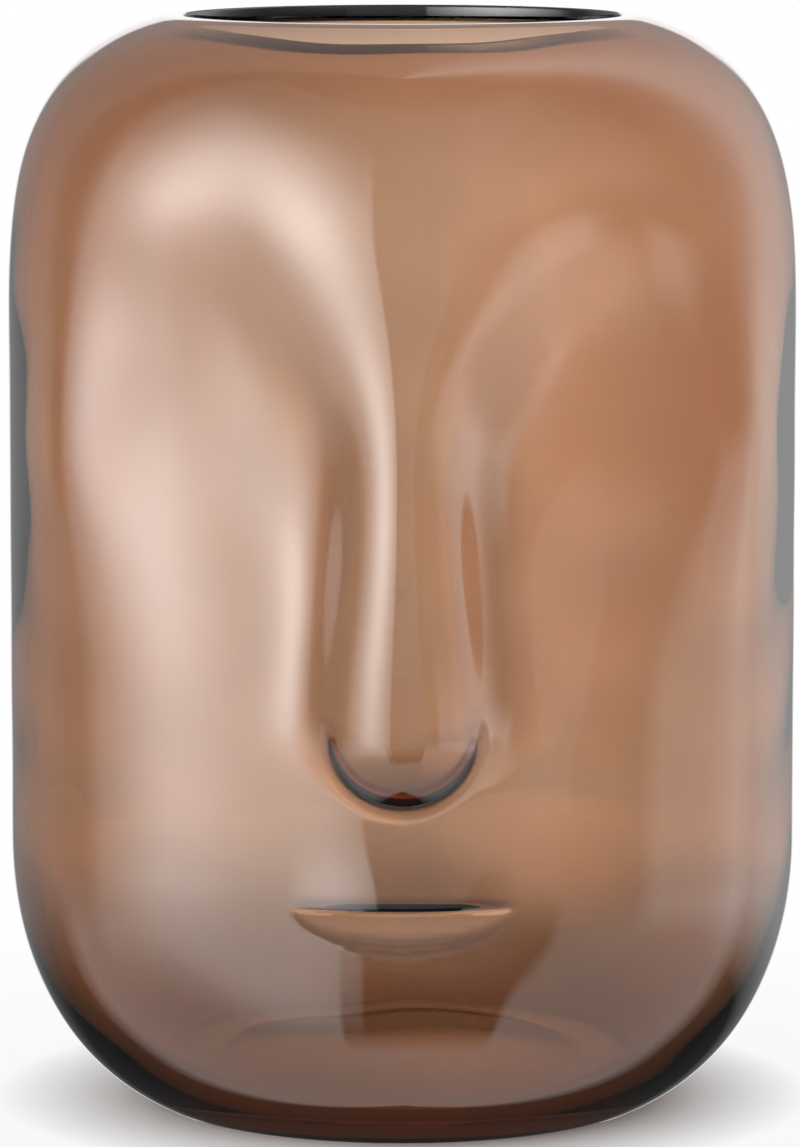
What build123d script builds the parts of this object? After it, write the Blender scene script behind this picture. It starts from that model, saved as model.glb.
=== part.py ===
from build123d import *
import bisect
import math
import os

# A face vase: one piece of thick, mould-blown tinted glass. Its round body has
# superelliptic corners, the mould presses a long-nosed face into the front, the
# inside follows that face more softly, and the mouth is cut and ground flat.
# Millimetres, heights from the foot, axis on Z, and the face looks along -Y.

# Body outline
body_height = 221.5
body_radius = 80.2
foot_radius = 51.0
heel_height = 54.6
heel_cut = 4.5
heel_squareness_share = 2.17
mouth_radius = 44.4
lip_width = 3.9
shoulder_height = 67.6
shoulder_cut = 2.95
shoulder_squareness_share = 3.31

# Thickness of the glass
wall = 3.7
dome_wall = 3.85
heel_wall = 6.7
floor_thickness = 4.5
floor_crown = 1.2
punt_radius = 38.0
punt_depth = 2.6
lip_round = 0.6
foot_round = 0.8

# Bowls of the eyes and cheeks
cheek_depth = 8.0
cheek_rise = 54.0
eye_depth = 9.0
eye_run = 45.0
socket_depth = 10.5
socket_place = 43.0
socket_width = 18.5
socket_run = 24.5
temple_width = 0.5
jowl_width = 8.5
temple_run = 52.5
jowl_run = 58.5
jowl_blend = 64.0
brow_bend = 160.0
brow_inner_run = 48.0
brow_outer_run = 24.0
brow_run_place = 46.0
brow_run_blend = 22.0

# Forehead over each eye, and the ridge between each eye and the temple
forehead_depth = 2.2
forehead_place = 40.0
forehead_width = 20.0
forehead_run = 15.0
ridge_height = 3.5
ridge_place = 65.0
ridge_width = 8.0
ridge_run = 25.0

# Nose: fills the bowls along the centre line and stands proud of them
root_flare = 62.0
root_blend = 120.0
tip_widening = 2.6
tip_blend = 30.0
stand_run = 130.0
ledge_blend = 25.0

# Mouth: a swollen lip over a scooped line
line_half_width = 24.0
line_drop = 9.0
swell_run = 9.0

# Heights of the features, as shares of the body's height
mouth_share = 0.231
tip_share = 0.388
jowl_share = 0.418
ledge_share = 0.420
root_share = 0.578
eye_share = 0.627
ridge_share = 0.638
socket_share = 0.807
forehead_share = 0.895
brow_share = 0.975
stand_share = 0.966

# How squarely the bowls, the nose and the lip are cut
brow_power_share = 1.5
nose_power_share = 2.2
tip_power_share = 0.5
swell_power_share = 1.5

# The face fades out towards the sides, the foot and the lip
side_fade_share = 0.35
end_run = 20.0

# Forms that differ outside and inside
outer = {
    "nose_half_width": 13.6,
    "tip_half_width": 19.0,
    "tip_drop": 18.4,
    "ledge_place_share": 0.72,
    "side_run_share": 0.34,
    "under_run_share": 0.30,
    "stand": 7.2,
    "line_depth": 2.4,
    "line_rise": 0.0,
    "line_edge": 2.0,
    "swell": 1.6,
}
inner = {
    "nose_half_width": 11.0,
    "tip_half_width": 16.2,
    "tip_drop": 14.8,
    "ledge_place_share": 0.58,
    "side_run_share": 0.50,
    "under_run_share": 0.50,
    "stand": 6.7,
    "line_depth": 1.9,
    "line_rise": 1.2,
    "line_edge": 2.6,
    "swell": 0.8,
}

# Sections through the skins, and the sampling of their profiles
outer_ring_count = 144
outer_section_count = 150
inner_ring_count = 96
inner_section_count = 100
profile_count = 4000
back_spread_share = 0.55
overrun = 5.0
nil = 1e-6


def ease(t):
    """Smooth step from 0 to 1, flat at both ends."""
    t = min(max(t, 0.0), 1.0)
    return t * t * t * (t * (6 * t - 15) + 10)


def bump(t):
    """Bell of height 1 about t = 0."""
    return math.exp(-t * t)


def keep(t, squareness):
    """What a superelliptic corner keeps of its reach at the share t of its rise."""
    t = min(max(t, 0.0), 1.0)
    return (1 - t**squareness) ** (1 / squareness)


# The shoulder is a dome whose top is cut off, the heel one whose bottom is
shoulder_rise = shoulder_height + shoulder_cut
shoulder_foot = body_height - shoulder_height
lip_radius = mouth_radius + lip_width
shoulder_left = keep(shoulder_height / shoulder_rise, shoulder_squareness_share)
shoulder_reach = (body_radius - lip_radius) / (1 - shoulder_left)
heel_rise = heel_height + heel_cut
heel_left = keep(heel_height / heel_rise, heel_squareness_share)
heel_reach = (body_radius - foot_radius) / (1 - heel_left)


def outer_radius(z):
    """Radius of the plain body at height z."""
    top = keep((z - shoulder_foot) / shoulder_rise, shoulder_squareness_share)
    low = keep((heel_height - z) / heel_rise, heel_squareness_share)
    return body_radius - shoulder_reach * (1 - top) - heel_reach * (1 - low)


def inner_radius(z):
    """Radius of the plain cavity at height z."""
    top = keep((z - shoulder_foot) / (shoulder_rise - dome_wall), shoulder_squareness_share)
    low = keep((heel_height - z) / (heel_rise - heel_wall), heel_squareness_share)
    drawn_in = (shoulder_reach - wall) * (1 - top) + (heel_reach - wall) * (1 - low)
    return body_radius - wall - drawn_in


def patch(a, z, place, share, width, run):
    """Soft round patch of height 1, place off the centre line."""
    return bump((a - place) / width) * bump((z - share * body_height) / run)


def bowl(a, z):
    """Depth of the bowl of the eye and cheek, a off the centre line."""
    depth = cheek_depth * ease(z / cheek_rise)
    depth += eye_depth * bump((z - eye_share * body_height) / eye_run)
    depth += socket_depth * patch(a, z, socket_place, socket_share, socket_width, socket_run)
    brow = brow_share * body_height - a * a / (2 * brow_bend)
    spread = ease((a - brow_run_place) / brow_run_blend)
    run = brow_inner_run + (brow_outer_run - brow_inner_run) * spread
    drop = (max(brow - z, 0.0) / run) ** brow_power_share
    lift = ease((z - jowl_share * body_height) / jowl_blend)
    edge = body_radius - jowl_width + (jowl_width - temple_width) * lift
    side_run = jowl_run + (temple_run - jowl_run) * lift
    depth *= drop / (1 + drop) * ease((edge - a) / side_run)
    depth += forehead_depth * patch(
        a, z, forehead_place, forehead_share, forehead_width, forehead_run
    )
    return depth - ridge_height * patch(a, z, ridge_place, ridge_share, ridge_width, ridge_run)


def nose(a, z, form):
    """How far the nose fills the bowl, from 1 on its crest to 0 on the cheek."""
    tip = tip_share * body_height
    half_tip = form["tip_half_width"]
    below = max(tip - z, 0.0) / form["tip_drop"]
    reach = half_tip * math.hypot(a / half_tip, below)
    up = max(z, tip)
    near_tip = bump((up - tip) / tip_blend)
    half = form["nose_half_width"] + tip_widening * near_tip
    half += root_flare * ease((up - root_share * body_height) / root_blend)
    power = nose_power_share + tip_power_share * near_tip
    lean = (below * half_tip / max(reach, nil)) ** 2
    run = form["side_run_share"] + (form["under_run_share"] - form["side_run_share"]) * lean
    under = ease((ledge_share * body_height - z) / ledge_blend)
    place = (reach / half_tip - form["ledge_place_share"]) / run
    return math.exp(-((reach / half) ** power)) * (1 - under * ease(place))


def mouth(a, z, form):
    """Depth that the lip and the line under it add."""
    span = max(1 - (a / line_half_width) ** 2, 0.0)
    above = z - mouth_share * body_height - form["line_rise"]
    swell = form["swell"] * span**swell_power_share
    if above > 0:
        return -swell * bump(above / swell_run)
    turn = ease(-above / form["line_edge"])
    scoop = 1 - ease(-above / (line_drop * math.sqrt(span) + nil))
    return form["line_depth"] * span * scoop * turn - swell * (1 - turn)


def relief(x, z, form):
    """Depth of the face below the plain body at the place x, z of its front."""
    a = abs(x)
    stand = form["stand"] * ease((stand_share * body_height - z) / stand_run)
    depth = bowl(a, z) - (bowl(0.0, z) + stand) * nose(a, z, form) + mouth(a, z, form)
    return depth * ease(z / end_run) * ease((body_height - z) / end_run)


def ring(z, plain_radius, form, count):
    """Points of one skin at height z, closest together across the face."""
    points = []
    for i in range(count):
        t = 2 * i / count - 1
        angle = math.pi * t * (1 - back_spread_share + back_spread_share * t * t)
        fade = ease(math.cos(angle) / side_fade_share)
        radius = plain_radius - fade * relief(plain_radius * math.sin(angle), z, form)
        points.append((radius * math.sin(angle), -radius * math.cos(angle)))
    return points


def closed_curve(points):
    """Closed curve with the same knots for every ring, so that rings loft cleanly."""
    shares = [i / len(points) for i in range(len(points) + 1)]
    return Edge.make_spline(points, periodic=True, parameters=shares)


def section_heights(low, high, radius_at, count):
    """Heights of sections that lie evenly spaced along a skin's profile."""
    step = (high - low) / profile_count
    rises = [low + i * step for i in range(profile_count + 1)]
    travel = [0.0]
    for z in rises[1:]:
        travel.append(travel[-1] + math.hypot(step, radius_at(z) - radius_at(z - step)))
    places = [bisect.bisect_left(travel, travel[-1] * i / count) for i in range(1, count)]
    return [low] + [rises[place] for place in places] + [high]


# The cavity's dome runs on past the bore of the mouth, which trims it
dome_end_radius = mouth_radius - lip_width
dome_kept_share = 1 - (body_radius - wall - dome_end_radius) / (shoulder_reach - wall)
dome_rise_share = keep(dome_kept_share, shoulder_squareness_share)
dome_top = shoulder_foot + (shoulder_rise - dome_wall) * dome_rise_share
bore_foot = shoulder_foot + shoulder_height / 2
crown_top = floor_thickness + floor_crown

with BuildPart() as vase_body:
    # Outer skin
    for z in section_heights(0.0, body_height, outer_radius, outer_section_count):
        with BuildSketch(Plane.XY.offset(z)):
            with BuildLine():
                add(closed_curve(ring(z, outer_radius(z), outer, outer_ring_count)))
            make_face()
    loft()

    # Cavity, and the bore that cuts its dome open
    for z in section_heights(floor_thickness, dome_top, inner_radius, inner_section_count):
        with BuildSketch(Plane.XY.offset(z)):
            with BuildLine():
                add(closed_curve(ring(z, inner_radius(z), inner, inner_ring_count)))
            make_face()
    loft(mode=Mode.SUBTRACT)
    with BuildSketch(Plane.XY.offset(bore_foot)):
        Circle(mouth_radius)
    extrude(amount=body_height - bore_foot + overrun, mode=Mode.SUBTRACT)

    # The base is pushed up a little, inside and underneath
    with BuildSketch(Plane.XZ):
        with BuildLine():
            Polyline((0, crown_top), (0, floor_thickness), (punt_radius, floor_thickness))
            TangentArc((0, crown_top), (punt_radius, floor_thickness), tangent=(1, 0))
        make_face()
    revolve(axis=Axis.Z)
    with BuildSketch(Plane.XZ):
        with BuildLine():
            Polyline((0, punt_depth), (0, 0), (punt_radius, 0))
            TangentArc((0, punt_depth), (punt_radius, 0), tangent=(1, 0))
        make_face()
    revolve(axis=Axis.Z, mode=Mode.SUBTRACT)

    # Polished edges of the lip, and the inner edge of the ring that it stands on
    fillet(vase_body.faces().sort_by(Axis.Z)[-1].edges(), radius=lip_round)
    foot_ring = vase_body.faces().filter_by(GeomType.PLANE).sort_by(Axis.Z)[0]
    fillet(foot_ring.edges().sort_by(SortBy.LENGTH)[0], radius=foot_round)

vase_body.part.label = "vase_body"
os.makedirs("parts", exist_ok=True)
export_step(vase_body.part, "parts/vase_body.step")
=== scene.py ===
import math

import bpy
import numpy as np
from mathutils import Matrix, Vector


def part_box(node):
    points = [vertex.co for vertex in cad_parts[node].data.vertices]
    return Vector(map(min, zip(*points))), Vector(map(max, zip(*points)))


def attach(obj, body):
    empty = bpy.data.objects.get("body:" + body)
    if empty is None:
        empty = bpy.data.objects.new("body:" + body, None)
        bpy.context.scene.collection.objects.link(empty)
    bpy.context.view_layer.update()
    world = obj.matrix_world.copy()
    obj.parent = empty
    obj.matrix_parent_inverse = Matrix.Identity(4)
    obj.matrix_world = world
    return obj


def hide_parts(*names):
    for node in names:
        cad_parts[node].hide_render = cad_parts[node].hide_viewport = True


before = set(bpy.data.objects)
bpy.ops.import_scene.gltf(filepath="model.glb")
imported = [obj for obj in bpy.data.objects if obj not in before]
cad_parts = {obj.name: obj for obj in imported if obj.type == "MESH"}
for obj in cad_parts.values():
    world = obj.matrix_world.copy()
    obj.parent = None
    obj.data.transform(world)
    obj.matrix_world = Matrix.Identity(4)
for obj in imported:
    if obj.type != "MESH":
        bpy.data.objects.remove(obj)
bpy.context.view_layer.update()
solid_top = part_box("vase_body")[1]

MM = 0.001

# Body outline, with its height and radius taken from the solid
BODY_HEIGHT = solid_top.z
BODY_RADIUS = solid_top.x
FOOT_RADIUS = 51.0 * MM
HEEL_HEIGHT = 54.6 * MM
HEEL_CUT = 4.5 * MM
HEEL_SQUARENESS = 2.17
MOUTH_RADIUS = 44.4 * MM
LIP_WIDTH = 3.9 * MM
SHOULDER_HEIGHT = 67.6 * MM
SHOULDER_CUT = 2.95 * MM
SHOULDER_SQUARENESS = 3.31

# Thickness of the glass, and its small edges
WALL = 3.7 * MM
DOME_WALL = 3.85 * MM
HEEL_WALL = 6.7 * MM
FLOOR_THICKNESS = 4.5 * MM
FLOOR_CROWN = 1.2 * MM
PUNT_RADIUS = 38.0 * MM
PUNT_DEPTH = 2.6 * MM
LIP_ROUND = 0.6 * MM
FOOT_ROUND = 0.8 * MM

# Bowls of the eyes and cheeks
CHEEK_DEPTH = 8.0 * MM
CHEEK_RISE = 54.0 * MM
EYE_DEPTH = 9.0 * MM
EYE_RUN = 45.0 * MM
SOCKET_DEPTH = 10.5 * MM
SOCKET_PLACE = 43.0 * MM
SOCKET_WIDTH = 18.5 * MM
SOCKET_RUN = 24.5 * MM
TEMPLE_WIDTH = 0.5 * MM
JOWL_WIDTH = 8.5 * MM
TEMPLE_RUN = 52.5 * MM
JOWL_RUN = 58.5 * MM
JOWL_BLEND = 64.0 * MM
BROW_BEND = 160.0 * MM
BROW_INNER_RUN = 48.0 * MM
BROW_OUTER_RUN = 24.0 * MM
BROW_RUN_PLACE = 46.0 * MM
BROW_RUN_BLEND = 22.0 * MM

# Forehead over each eye, and the ridge between each eye and the temple
FOREHEAD_DEPTH = 2.2 * MM
FOREHEAD_PLACE = 40.0 * MM
FOREHEAD_WIDTH = 20.0 * MM
FOREHEAD_RUN = 15.0 * MM
RIDGE_HEIGHT = 3.5 * MM
RIDGE_PLACE = 65.0 * MM
RIDGE_WIDTH = 8.0 * MM
RIDGE_RUN = 25.0 * MM

# Nose: fills the bowls along the centre line and stands proud of them
ROOT_FLARE = 62.0 * MM
ROOT_BLEND = 120.0 * MM
TIP_WIDENING = 2.6 * MM
TIP_BLEND = 30.0 * MM
STAND_RUN = 130.0 * MM
LEDGE_BLEND = 25.0 * MM

# Mouth: a swollen lip over a scooped line
LINE_HALF_WIDTH = 24.0 * MM
LINE_DROP = 9.0 * MM
SWELL_RUN = 9.0 * MM

# Heights of the features
MOUTH = 0.231 * BODY_HEIGHT
TIP = 0.388 * BODY_HEIGHT
JOWL = 0.418 * BODY_HEIGHT
LEDGE = 0.420 * BODY_HEIGHT
ROOT = 0.578 * BODY_HEIGHT
EYE = 0.627 * BODY_HEIGHT
RIDGE = 0.638 * BODY_HEIGHT
SOCKET = 0.807 * BODY_HEIGHT
FOREHEAD = 0.895 * BODY_HEIGHT
STAND = 0.966 * BODY_HEIGHT
BROW = 0.975 * BODY_HEIGHT

# How squarely the bowls, the nose, the lip and the line under it are cut
BROW_POWER = 1.5
NOSE_POWER = 2.2
TIP_POWER = 0.5
SWELL_POWER = 1.5
SCOOP_POWER = 2.6

# The face fades out towards the sides, the foot and the lip
SIDE_FADE = 0.35
END_RUN = 20.0 * MM

# Unevenness of the blown glass: waves in both skins, and patches where the wall runs thick or
# thin, each with its place off the centre line, its height and what it adds to the wall
WAVE_LENGTH = 31.0 * MM
WAVE_TURNS = 7
WAVE_DRIFT = 2
PATCH_SIZE = 21.0 * MM
PATCHES = [
    (38.0 * MM, 146.0 * MM, 0.55 * MM),
    (56.0 * MM, 118.0 * MM, -0.25 * MM),
    (38.0 * MM, 112.0 * MM, 0.30 * MM),
    (40.0 * MM, 58.0 * MM, -0.60 * MM),
]

# The two skins of the glass. The ledge's place and both runs are shares of the tip's half width.
OUTER = {
    "nose_half_width": 13.6 * MM,
    "tip_half_width": 19.0 * MM,
    "tip_drop": 18.4 * MM,
    "ledge_place": 0.72,
    "side_run": 0.34,
    "under_run": 0.30,
    "stand": 7.2 * MM,
    "line_depth": 1.9 * MM,
    "line_rise": 0.0,
    "line_edge": 1.6 * MM,
    "swell": 1.6 * MM,
    "wave": 0.03 * MM,
    "patches": [],
}
INNER = {
    "nose_half_width": 11.0 * MM,
    "tip_half_width": 16.2 * MM,
    "tip_drop": 14.8 * MM,
    "ledge_place": 0.58,
    "side_run": 0.50,
    "under_run": 0.50,
    "stand": 6.7 * MM,
    "line_depth": 1.9 * MM,
    "line_rise": 1.2 * MM,
    "line_edge": 2.6 * MM,
    "swell": 0.8 * MM,
    "wave": 0.14 * MM,
    "patches": PATCHES,
}

# Mesh: columns and rings, which crowd together at the nose, under its tip and at the mouth
COLUMNS = 240
BACK_SPREAD = 0.66
OUTER_ROWS = 250
INNER_ROWS = 110
PUNT_ROWS = 16
CROWN_ROWS = 14
LIP_ROWS = 5
TIP_CROWD = 3.0
TIP_CROWD_DROP = 14.0 * MM
TIP_CROWD_RUN = 9.0 * MM
MOUTH_CROWD = 2.5
MOUTH_CROWD_RUN = 6.0 * MM
PROFILE_SAMPLES = 8001
BORE_SAMPLES = 20001
SHARP_EDGE = math.radians(45)
NIL = 1e-9


def ease(t):
    """Smooth step from 0 to 1, flat at both ends."""
    t = np.clip(t, 0.0, 1.0)
    return t * t * t * (t * (6 * t - 15) + 10)


def bump(t):
    """Bell of height 1 about t = 0."""
    return np.exp(-t * t)


def keep(t, squareness):
    """What a superelliptic corner keeps of its reach at the share t of its rise."""
    t = np.clip(t, 0.0, 1.0)
    return (1 - t**squareness) ** (1 / squareness)


# The shoulder is a dome whose top is cut off, the heel one whose bottom is
SHOULDER_RISE = SHOULDER_HEIGHT + SHOULDER_CUT
SHOULDER_FOOT = BODY_HEIGHT - SHOULDER_HEIGHT
SHOULDER_LEFT = keep(SHOULDER_HEIGHT / SHOULDER_RISE, SHOULDER_SQUARENESS)
SHOULDER_REACH = (BODY_RADIUS - MOUTH_RADIUS - LIP_WIDTH) / (1 - SHOULDER_LEFT)
HEEL_RISE = HEEL_HEIGHT + HEEL_CUT
HEEL_LEFT = keep(HEEL_HEIGHT / HEEL_RISE, HEEL_SQUARENESS)
HEEL_REACH = (BODY_RADIUS - FOOT_RADIUS) / (1 - HEEL_LEFT)


def outer_radius(z):
    """Radius of the plain body at height z."""
    top = keep((z - SHOULDER_FOOT) / SHOULDER_RISE, SHOULDER_SQUARENESS)
    low = keep((HEEL_HEIGHT - z) / HEEL_RISE, HEEL_SQUARENESS)
    return BODY_RADIUS - SHOULDER_REACH * (1 - top) - HEEL_REACH * (1 - low)


def inner_radius(z):
    """Radius of the plain cavity at height z."""
    top = keep((z - SHOULDER_FOOT) / (SHOULDER_RISE - DOME_WALL), SHOULDER_SQUARENESS)
    low = keep((HEEL_HEIGHT - z) / (HEEL_RISE - HEEL_WALL), HEEL_SQUARENESS)
    drawn_in = (SHOULDER_REACH - WALL) * (1 - top) + (HEEL_REACH - WALL) * (1 - low)
    return BODY_RADIUS - WALL - drawn_in


def front_share(angle):
    """1 over the front of the vase, falling to 0 at its sides."""
    return ease(np.cos(angle) / SIDE_FADE)


def middle_share(z):
    """1 over most of the height, falling to 0 at the foot and the lip."""
    return ease(z / END_RUN) * ease((BODY_HEIGHT - z) / END_RUN)


def patch(a, z, place, height, width, run):
    """Soft round patch of height 1, place off the centre line."""
    return bump((a - place) / width) * bump((z - height) / run)


def bowl(a, z):
    """Depth of the bowl of the eye and cheek, a off the centre line."""
    depth = CHEEK_DEPTH * ease(z / CHEEK_RISE) + EYE_DEPTH * bump((z - EYE) / EYE_RUN)
    depth = depth + SOCKET_DEPTH * patch(a, z, SOCKET_PLACE, SOCKET, SOCKET_WIDTH, SOCKET_RUN)
    brow = BROW - a * a / (2 * BROW_BEND)
    spread = ease((a - BROW_RUN_PLACE) / BROW_RUN_BLEND)
    run = BROW_INNER_RUN + (BROW_OUTER_RUN - BROW_INNER_RUN) * spread
    drop = (np.maximum(brow - z, 0.0) / run) ** BROW_POWER
    lift = ease((z - JOWL) / JOWL_BLEND)
    edge = BODY_RADIUS - JOWL_WIDTH + (JOWL_WIDTH - TEMPLE_WIDTH) * lift
    side_run = JOWL_RUN + (TEMPLE_RUN - JOWL_RUN) * lift
    depth = depth * drop / (1 + drop) * ease((edge - a) / side_run)
    depth = depth + FOREHEAD_DEPTH * patch(a, z, FOREHEAD_PLACE, FOREHEAD, FOREHEAD_WIDTH, FOREHEAD_RUN)
    return depth - RIDGE_HEIGHT * patch(a, z, RIDGE_PLACE, RIDGE, RIDGE_WIDTH, RIDGE_RUN)


def nose(a, z, form):
    """How far the nose fills the bowl, from 1 on its crest to 0 on the cheek."""
    half_tip = form["tip_half_width"]
    below = np.maximum(TIP - z, 0.0) / form["tip_drop"]
    reach = half_tip * np.hypot(a / half_tip, below)
    up = np.maximum(z, TIP)
    near_tip = bump((up - TIP) / TIP_BLEND)
    half = form["nose_half_width"] + TIP_WIDENING * near_tip
    half = half + ROOT_FLARE * ease((up - ROOT) / ROOT_BLEND)
    power = NOSE_POWER + TIP_POWER * near_tip
    lean = (below * half_tip / np.maximum(reach, NIL)) ** 2
    run = form["side_run"] + (form["under_run"] - form["side_run"]) * lean
    under = ease((LEDGE - z) / LEDGE_BLEND)
    place = (reach / half_tip - form["ledge_place"]) / run
    return np.exp(-((reach / half) ** power)) * (1 - under * ease(place))


def mouth(a, z, form):
    """Depth that the lip and the line under it add."""
    span = np.maximum(1 - (a / LINE_HALF_WIDTH) ** 2, 0.0)
    above = z - MOUTH - form["line_rise"]
    swell = form["swell"] * span**SWELL_POWER
    turn = ease(-above / form["line_edge"])
    down = np.clip(-above / (LINE_DROP * np.sqrt(span) + NIL), 0.0, 1.0)
    scoop = 1 - down**SCOOP_POWER
    under = form["line_depth"] * span * scoop * turn - swell * (1 - turn)
    return np.where(above > 0, -swell * bump(above / SWELL_RUN), under)


def relief(x, z, form):
    """Depth of the face below the plain body at the place x, z of its front."""
    a = np.abs(x)
    stand = form["stand"] * ease((STAND - z) / STAND_RUN)
    depth = bowl(a, z) - (bowl(0.0, z) + stand) * nose(a, z, form) + mouth(a, z, form)
    return depth * middle_share(z)


def unevenness(x, angle, z, form):
    """Swing of a skin: in for its waves and the wall's thick patches, out for the thin ones."""
    climb = math.tau * z / WAVE_LENGTH + WAVE_DRIFT * np.sin(2 * angle)
    twist = WAVE_TURNS * angle + z / WAVE_LENGTH
    swing = form["wave"] * (np.sin(climb) * np.sin(twist) - 1)
    for place, height, thickening in form["patches"]:
        near = bump(np.hypot(x - place, z - height) / PATCH_SIZE)
        swing = swing - thickening * front_share(angle) * near
    return swing * middle_share(z)


def angles():
    """The columns' angles from the face's centre line, closest together at the nose."""
    t = np.linspace(-1, 1, COLUMNS, endpoint=False)
    return math.pi * t * (1 - BACK_SPREAD + BACK_SPREAD * t * t)


def skin(heights, radius_at, form):
    """Rings of points, one for each height, on one skin of the glass."""
    z, angle = np.meshgrid(heights, angles(), indexing="ij")
    plain = radius_at(z)
    x = plain * np.sin(angle)
    radius = plain - front_share(angle) * relief(x, z, form) + unevenness(x, angle, z, form)
    return np.stack([radius * np.sin(angle), -radius * np.cos(angle), z], axis=-1)


def heights_along(low, high, radius_at, count):
    """Heights spaced evenly along a profile, but closer under the nose's tip and at the mouth."""
    z = np.linspace(low, high, PROFILE_SAMPLES)
    radius = radius_at(z)
    mid = (z[1:] + z[:-1]) / 2
    crowd = 1 + TIP_CROWD * bump((mid - TIP + TIP_CROWD_DROP) / TIP_CROWD_RUN)
    crowd = crowd + MOUTH_CROWD * bump((mid - MOUTH) / MOUTH_CROWD_RUN)
    travel = np.concatenate([[0.0], np.cumsum(np.hypot(np.diff(z), np.diff(radius)) * crowd)])
    return np.interp(np.linspace(0, travel[-1], count), travel, z)


def bore_foot():
    """Height at which the cavity has drawn in to the radius of the mouth."""
    cavity_top = SHOULDER_FOOT + SHOULDER_RISE - DOME_WALL
    z = np.linspace(SHOULDER_FOOT, cavity_top - NIL, BORE_SAMPLES)
    return z[inner_radius(z) > MOUTH_RADIUS].max()


def turned(profile):
    """Rings of a profile of (radius, height) points turned about the axis."""
    rings = [[(r * math.sin(t), -r * math.cos(t), z) for t in angles()] for r, z in profile]
    return np.array(rings)


def dish_profile(radius, base, rise, count):
    """Profile of a shallow dome over a circle, from its rim to just short of the axis."""
    shares = [1 - i / count for i in range(count)]
    return [(radius * share, base + rise * (1 - share * share)) for share in shares]


def lip_profile():
    """Profile of the lip, from its outer edge, over its flat top, down its rounded inner edge."""
    round_place = MOUTH_RADIUS + LIP_ROUND
    flat_ends = (MOUTH_RADIUS + LIP_WIDTH - LIP_ROUND, round_place + LIP_ROUND / 2)
    flat = [(radius, BODY_HEIGHT) for radius in flat_ends]
    turns = [math.radians(90 + 90 * i / (LIP_ROWS - 1)) for i in range(LIP_ROWS)]
    centre_height = BODY_HEIGHT - LIP_ROUND
    edge = [(round_place + LIP_ROUND * math.cos(t), centre_height + LIP_ROUND * math.sin(t)) for t in turns]
    return flat + edge


def outside_rings():
    """Rings from the middle of the base, up the outer skin and over the lip, in parts."""
    punt = dish_profile(PUNT_RADIUS, 0.0, PUNT_DEPTH, PUNT_ROWS)[::-1]
    foot = [(PUNT_RADIUS + FOOT_ROUND, 0.0), (FOOT_RADIUS - FOOT_ROUND, 0.0)]
    heights = heights_along(0.0, BODY_HEIGHT - LIP_ROUND / 2, outer_radius, OUTER_ROWS)
    return [turned(punt + foot), skin(heights, outer_radius, OUTER), turned(lip_profile())]


def inside_rings():
    """Rings from the bore, down the inner skin and over the floor to its middle, in parts."""
    heights = heights_along(FLOOR_THICKNESS, bore_foot(), inner_radius, INNER_ROWS)
    floor_edge = float(inner_radius(FLOOR_THICKNESS)) - FOOT_ROUND
    flat = [(floor_edge, FLOOR_THICKNESS), (PUNT_RADIUS + FOOT_ROUND, FLOOR_THICKNESS)]
    crown = dish_profile(PUNT_RADIUS, FLOOR_THICKNESS, FLOOR_CROWN, CROWN_ROWS)
    return [skin(heights, inner_radius, INNER)[::-1], turned(flat + crown)]


def vase_mesh():
    """One closed mesh of the glass, capped at both poles, which marks the points outside."""
    outside_parts = outside_rings()
    rings = np.concatenate(outside_parts + inside_rings())
    count = len(rings)
    row = np.arange(count - 1)[:, None] * COLUMNS
    column = np.arange(COLUMNS)[None, :]
    after = (column + 1) % COLUMNS
    corners = [row + column, row + after, row + COLUMNS + after, row + COLUMNS + column]
    faces = np.stack(corners, axis=-1).reshape(-1, 4).tolist()
    faces.append(list(range(COLUMNS))[::-1])
    faces.append(list(range((count - 1) * COLUMNS, count * COLUMNS)))
    mesh = bpy.data.meshes.new("vase_glass")
    mesh.from_pydata(rings.reshape(-1, 3).tolist(), [], faces)
    is_outside = np.arange(count) < sum(len(part) for part in outside_parts)
    outside = mesh.attributes.new("outside", "FLOAT", "POINT")
    outside.data.foreach_set("value", np.repeat(is_outside, COLUMNS).astype(float))
    mesh.update()
    mesh.shade_smooth()
    mesh.set_sharp_from_angle(angle=SHARP_EDGE)
    return mesh


# Glass: light is tinted on its way through it, and the coat gives the outer skin its mirror
WHITE = (1, 1, 1, 1)
GLASS_TINT = (0.674, 0.33, 0.0, 1)
GLASS_DENSITY = 237.0
GLASS_IOR = 1.5
COAT_IOR = 2.1


def glass_material():
    """Smoke-brown glass, tinted all through, its outer skin polished brighter than the inner."""
    material = bpy.data.materials.new("smoke_glass")
    material.use_nodes = True
    nodes, links = material.node_tree.nodes, material.node_tree.links
    shader = nodes["Principled BSDF"]
    shader.inputs["Base Color"].default_value = WHITE
    shader.inputs["Transmission Weight"].default_value = 1.0
    shader.inputs["Roughness"].default_value = 0.0
    shader.inputs["IOR"].default_value = GLASS_IOR
    shader.inputs["Coat IOR"].default_value = COAT_IOR
    shader.inputs["Coat Roughness"].default_value = 0.0
    outside = nodes.new("ShaderNodeAttribute")
    outside.attribute_name = "outside"
    links.new(outside.outputs["Fac"], shader.inputs["Coat Weight"])
    tint = nodes.new("ShaderNodeVolumeAbsorption")
    tint.inputs["Color"].default_value = GLASS_TINT
    tint.inputs["Density"].default_value = GLASS_DENSITY
    links.new(tint.outputs[0], nodes["Material Output"].inputs["Volume"])
    return material


def vase():
    """The one glass piece of the vase, which stands for the solid."""
    mesh = vase_mesh()
    mesh.materials.append(glass_material())
    piece = bpy.data.objects.new("vase_glass", mesh)
    bpy.context.collection.objects.link(piece)
    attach(piece, "root")
    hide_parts("vase_body")


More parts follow.
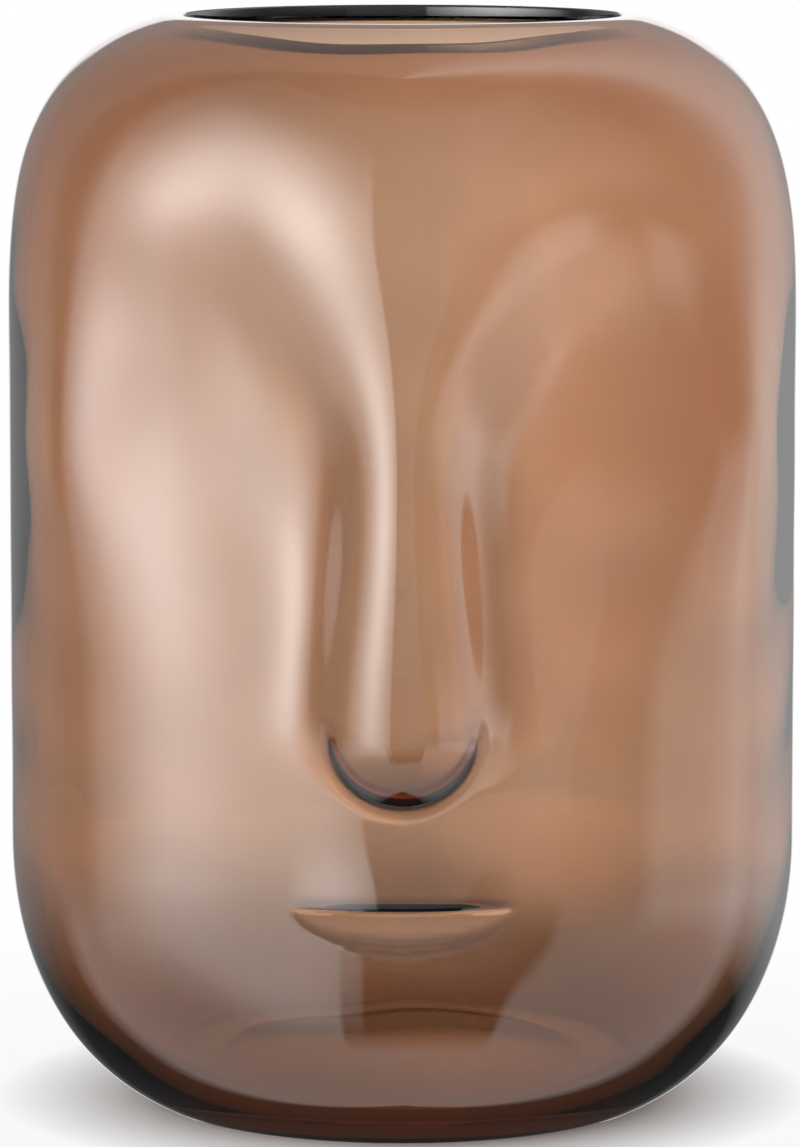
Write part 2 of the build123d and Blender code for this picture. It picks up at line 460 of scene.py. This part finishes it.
class Graph:
    """Short way to write sums in a node tree."""

    def __init__(self, tree):
        self.tree = tree
        tree.nodes.clear()

    def node(self, kind, **settings):
        """New node with some of its settings."""
        made = self.tree.nodes.new(kind)
        for name, value in settings.items():
            setattr(made, name, value)
        return made

    def link(self, source, target):
        """Link from an output to an input."""
        self.tree.links.new(source, target)

    def calc(self, operation, *values, clamp=False):
        """Result of one Math node on numbers or outputs."""
        made = self.node("ShaderNodeMath", operation=operation, use_clamp=clamp)
        for socket, value in zip(made.inputs, values):
            if isinstance(value, (int, float)):
                socket.default_value = value
            else:
                self.link(value, socket)
        return made.outputs[0]

    def product(self, first, *others):
        """All the values multiplied."""
        for other in others:
            first = self.calc("MULTIPLY", first, other)
        return first

    def total(self, first, *others):
        """All the values added."""
        for other in others:
            first = self.calc("ADD", first, other)
        return first

    def inverse(self, value):
        """1 where the value is 0, and 0 where it is 1."""
        return self.calc("SUBTRACT", 1.0, value)

    def between(self, levels, share):
        """From the first level to the second as the share goes from 0 to 1."""
        return self.total(self.product(share, levels[1] - levels[0]), levels[0])

    def ramp(self, value, middle, soft):
        """0 below middle and 1 above it, or the reverse where soft is negative."""
        start = self.calc("SUBTRACT", value, middle - soft / 2)
        return self.calc("DIVIDE", start, soft, clamp=True)

    def band(self, value, span, low_soft, high_soft=None):
        """1 inside a span, falling to 0 over a softness at each end, the same where one is given."""
        low_end = self.ramp(value, span[0], low_soft)
        return self.product(low_end, self.ramp(value, span[1], -(high_soft or low_soft)))

    def bell(self, value, centre, spread):
        """Bell of height 1 about a centre."""
        t = self.calc("DIVIDE", self.calc("SUBTRACT", value, centre), spread)
        return self.calc("EXPONENT", self.product(t, t, -1.0))

    def mirrored_ray(self, path):
        """1 for rays that a surface mirrors. Is Glossy Ray is also 1 for those that go through it."""
        return self.product(path["Is Glossy Ray"], self.inverse(path["Is Transmission Ray"]))


# The studio's places are in degrees: turn goes round the vase from the camera's side, positive to
# the right, and rise goes up from level. Its levels are strengths of light, and its edges are soft
# over so many degrees.
CRISP = 2
FIRM = 4
MILD = 6
SOFT = 12

# Soft box at the left, with a hot middle
LEFT_BOX = (-97, -13)
LEFT_RISE = (-30, 66)
LEFT_LEVEL = 0.10
HOT_LEVEL = 2.6
HOT_PLACE = (-50, 9)
HOT_SPREAD = (32, 23)

# Dim gap between the boxes
GAP = (-13, 30)
GAP_RISE = (-10, 66)
GAP_LEVEL = 0.12

# Soft box at the right, strongest near the gap, and the low strip beyond it
RIGHT_BOX = (30, 80)
RIGHT_RISE = (8, 62)
RIGHT_LEVEL = 0.16
RIGHT_PLACE = 36
RIGHT_SPREAD = 34
LOW_BOX = (60, 118)
LOW_RISE = (-18, -4)
LOW_LEVEL = 0.35

# White wall behind, as it shows through the glass: its level left and right of the axis, its lower
# part, and the darker sides of the room
WALL_THROUGH_EDGE = 98
WALL_THROUGH_LEVELS = (0.80, 1.05)
WALL_SPREAD = 0.08
WALL_LOW_LEVEL = 0.66
WALL_LOW_RISE = -7
WALL_LOW_SOFT = 8
SIDES_THROUGH_LEVEL = 0.38

# The same wall and the one at the right, as the glass mirrors them, and the stretch straight behind
WALL_EDGE = 118
WALL_MIRRORED = 0.12
WALL_FOOT_RISE = -20
RIGHT_WALL_PLACE = 130
RIGHT_WALL_SPREAD = 26
RIGHT_WALL_LEVEL = 0.42
WALL_STRAIGHT = 166
WALL_STRAIGHT_RISE = (-16, 12)
WALL_STRAIGHT_LEVEL = 0.9

# Ground round the table, dark in front of the gap, and the ceiling and the air of the room
GROUND_RISE = -14
GROUND_LEVEL = 0.40
GROUND_GAP = (-20, 30)
GROUND_GAP_RISE = -36
CEILING_RISE = 60
CEILING_LEVEL = 0.45
ROOM_LEVELS = (0.03, 0.13)


def box_light(g, turn, rise):
    """Light of the soft boxes, of the gap between them and of the low strip."""
    left = g.product(g.band(turn, LEFT_BOX, SOFT, CRISP), g.band(rise, LEFT_RISE, SOFT, CRISP))
    hot = g.product(g.bell(turn, HOT_PLACE[0], HOT_SPREAD[0]), g.bell(rise, HOT_PLACE[1], HOT_SPREAD[1]))
    left = g.product(left, g.total(g.product(hot, HOT_LEVEL), LEFT_LEVEL))
    gap = g.product(g.band(turn, GAP, CRISP), g.band(rise, GAP_RISE, SOFT), GAP_LEVEL)
    right = g.product(g.band(turn, RIGHT_BOX, CRISP, SOFT), g.band(rise, RIGHT_RISE, SOFT))
    right = g.product(right, g.bell(turn, RIGHT_PLACE, RIGHT_SPREAD), RIGHT_LEVEL)
    low = g.product(g.band(turn, LOW_BOX, SOFT), g.band(rise, LOW_RISE, MILD), LOW_LEVEL)
    return g.total(left, gap, right, low)


def light_through(g, x, turn, rise):
    """Light of the wall behind, of the sides and of the ceiling, as they show through the glass.

    x is the direction's own reach to the right, from -1 to 1.
    """
    across = g.between(WALL_THROUGH_LEVELS, g.ramp(x, 0.0, WALL_SPREAD))
    high = g.ramp(rise, WALL_LOW_RISE, WALL_LOW_SOFT)
    upper = g.product(g.calc("SUBTRACT", across, WALL_LOW_LEVEL), high)
    beyond = g.ramp(g.calc("ABSOLUTE", turn), WALL_THROUGH_EDGE, SOFT)
    wall = g.product(beyond, g.total(upper, WALL_LOW_LEVEL))
    sides = g.product(g.inverse(beyond), SIDES_THROUGH_LEVEL)
    ceiling = g.product(g.ramp(rise, CEILING_RISE, SOFT), CEILING_LEVEL)
    return g.total(wall, sides, ceiling)


def wall_light(g, turn, rise, behind):
    """Light of the walls, down to their foot, on all but the rays that go through the glass."""
    right = g.product(g.bell(turn, RIGHT_WALL_PLACE, RIGHT_WALL_SPREAD), RIGHT_WALL_LEVEL)
    return g.product(g.ramp(rise, WALL_FOOT_RISE, SOFT), g.total(g.product(behind, WALL_MIRRORED), right))


def straight_light(g, turn, rise):
    """Light that the wall straight behind adds, which the vase mirrors along its outline."""
    across = g.ramp(g.calc("ABSOLUTE", turn), WALL_STRAIGHT, FIRM)
    strip = g.product(across, g.band(rise, WALL_STRAIGHT_RISE, CRISP))
    return g.product(strip, WALL_STRAIGHT_LEVEL - WALL_MIRRORED)


def ground_light(g, turn, rise, behind):
    """Light of the ground in front and at the sides, with its dark stretch in front of the gap."""
    opening = g.product(g.band(turn, GROUND_GAP, CRISP), g.ramp(rise, GROUND_GAP_RISE, SOFT))
    below = g.ramp(rise, GROUND_RISE, -SOFT)
    return g.product(below, g.inverse(opening), g.inverse(behind), GROUND_LEVEL)


def studio_world():
    """Light from the soft boxes, the walls and the room; the camera itself sees white."""
    world = bpy.data.worlds.new("studio")
    world.use_nodes = True
    g = Graph(world.node_tree)
    place = g.node("ShaderNodeTexCoord")
    split = g.node("ShaderNodeSeparateXYZ")
    g.link(place.outputs["Generated"], split.inputs[0])
    x, y, z = split.outputs
    turn = g.product(g.calc("ARCTAN2", x, g.product(y, -1.0)), math.degrees(1))
    rise = g.product(g.calc("ARCSINE", z), math.degrees(1))
    behind = g.ramp(g.calc("ABSOLUTE", turn), WALL_EDGE, SOFT)

    path = g.node("ShaderNodeLightPath").outputs
    seen = path["Is Camera Ray"]
    through = path["Is Transmission Ray"]
    light = g.total(
        box_light(g, turn, rise),
        g.product(light_through(g, x, turn, rise), through),
        g.product(wall_light(g, turn, rise, behind), g.inverse(through)),
        g.product(straight_light(g, turn, rise), g.mirrored_ray(path)),
        ground_light(g, turn, rise, behind),
        g.between(ROOM_LEVELS, g.ramp(rise, GROUND_RISE, SOFT)),
    )
    background = g.node("ShaderNodeBackground")
    background.inputs["Color"].default_value = WHITE
    g.link(g.total(g.product(light, g.inverse(seen)), seen), background.inputs["Strength"])
    g.link(background.outputs[0], g.node("ShaderNodeOutputWorld").inputs[0])
    bpy.context.scene.world = world


# Round white table. Away from the vase the camera sees it fade into the white round it, in a near
# and a far stretch. Through the glass it glows with painted shade: dim near the vase, standing in for
# the vase's shadow there, and lighting up towards its edge.
TABLE_RADIUS = 350 * MM
TABLE_SIDES = 128
TABLE_SHADE = 0.8
TABLE_NEAR = (48 * MM, 84 * MM)
TABLE_NEAR_SHARE = 0.93
TABLE_FAR = (95 * MM, 220 * MM)
TABLE_THROUGH = (60 * MM, 345 * MM)
# Glow of the table seen through the glass: painted shade near the vase, brighter at the edge
TABLE_PAINTED_SHADE_LEVELS = (0.26, 0.94)
TABLE_THROUGH_SHARE = 0.85


def table_material():
    """White that keeps the vase's shadow, and that the glass doesn't mirror. Seen through the glass it is a
    glow with painted shade, dim near the vase.
    """
    material = bpy.data.materials.new("table_white")
    material.use_nodes = True
    g = Graph(material.node_tree)
    place = g.node("ShaderNodeTexCoord")
    length = g.node("ShaderNodeVectorMath", operation="LENGTH")
    g.link(place.outputs["Object"], length.inputs[0])
    near, far, rim = [
        g.ramp(length.outputs["Value"], (low + high) / 2, high - low)
        for low, high in (TABLE_NEAR, TABLE_FAR, TABLE_THROUGH)
    ]
    fading = g.total(g.product(near, TABLE_NEAR_SHARE), g.product(far, 1 - TABLE_NEAR_SHARE))

    path = g.node("ShaderNodeLightPath").outputs
    seen = path["Is Camera Ray"]
    through = path["Is Transmission Ray"]
    shade = g.node("ShaderNodeBsdfDiffuse")
    shade.inputs[0].default_value = (TABLE_SHADE, TABLE_SHADE, TABLE_SHADE, 1)
    white = g.node("ShaderNodeEmission")
    # Painted shade: through the glass the table's glow is dim near the vase, for the vase's shadow, and
    # brightens towards its edge
    lit = g.product(g.between(TABLE_PAINTED_SHADE_LEVELS, rim), through)
    g.link(g.total(seen, lit), white.inputs["Strength"])
    mix = g.node("ShaderNodeMixShader")
    g.link(g.total(g.product(fading, seen), g.product(through, TABLE_THROUGH_SHARE)), mix.inputs[0])
    g.link(shade.outputs[0], mix.inputs[1])
    g.link(white.outputs[0], mix.inputs[2])
    unmirrored = g.node("ShaderNodeMixShader")
    g.link(g.mirrored_ray(path), unmirrored.inputs[0])
    g.link(mix.outputs[0], unmirrored.inputs[1])
    g.link(g.node("ShaderNodeBsdfTransparent").outputs[0], unmirrored.inputs[2])
    g.link(unmirrored.outputs[0], g.node("ShaderNodeOutputMaterial").inputs[0])
    return material


def table_top():
    """The table's top, a flat disc that the vase stands on."""
    mesh = bpy.data.meshes.new("table_top")
    turns = [math.tau * i / TABLE_SIDES for i in range(TABLE_SIDES)]
    edge = [(TABLE_RADIUS * math.cos(t), TABLE_RADIUS * math.sin(t), 0) for t in turns]
    mesh.from_pydata(edge, [], [list(range(TABLE_SIDES))])
    mesh.materials.append(table_material())
    top = bpy.data.objects.new("table_top", mesh)
    bpy.context.collection.objects.link(top)


# Camera at the photograph's viewing angle, a little above level and looking down by its tilt. Its
# lens and sensor are in millimetres.
CAMERA_PLACE = (-0.5 * MM, -1311.0 * MM, 278.7 * MM)
CAMERA_TILT = math.radians(7.44)
CAMERA_LENS = 203.1
CAMERA_SENSOR = 36.0


def photo_camera():
    """The camera, 1.3 m in front of the vase."""
    data = bpy.data.cameras.new("photo_camera")
    data.lens = CAMERA_LENS
    data.sensor_width = CAMERA_SENSOR
    camera = bpy.data.objects.new("photo_camera", data)
    camera.location = CAMERA_PLACE
    camera.rotation_euler = (math.pi / 2 - CAMERA_TILT, 0, 0)
    bpy.context.collection.objects.link(camera)
    bpy.context.scene.camera = camera


vase()
table_top()
studio_world()
photo_camera()
bpy.context.scene.view_settings.view_transform = "Standard"
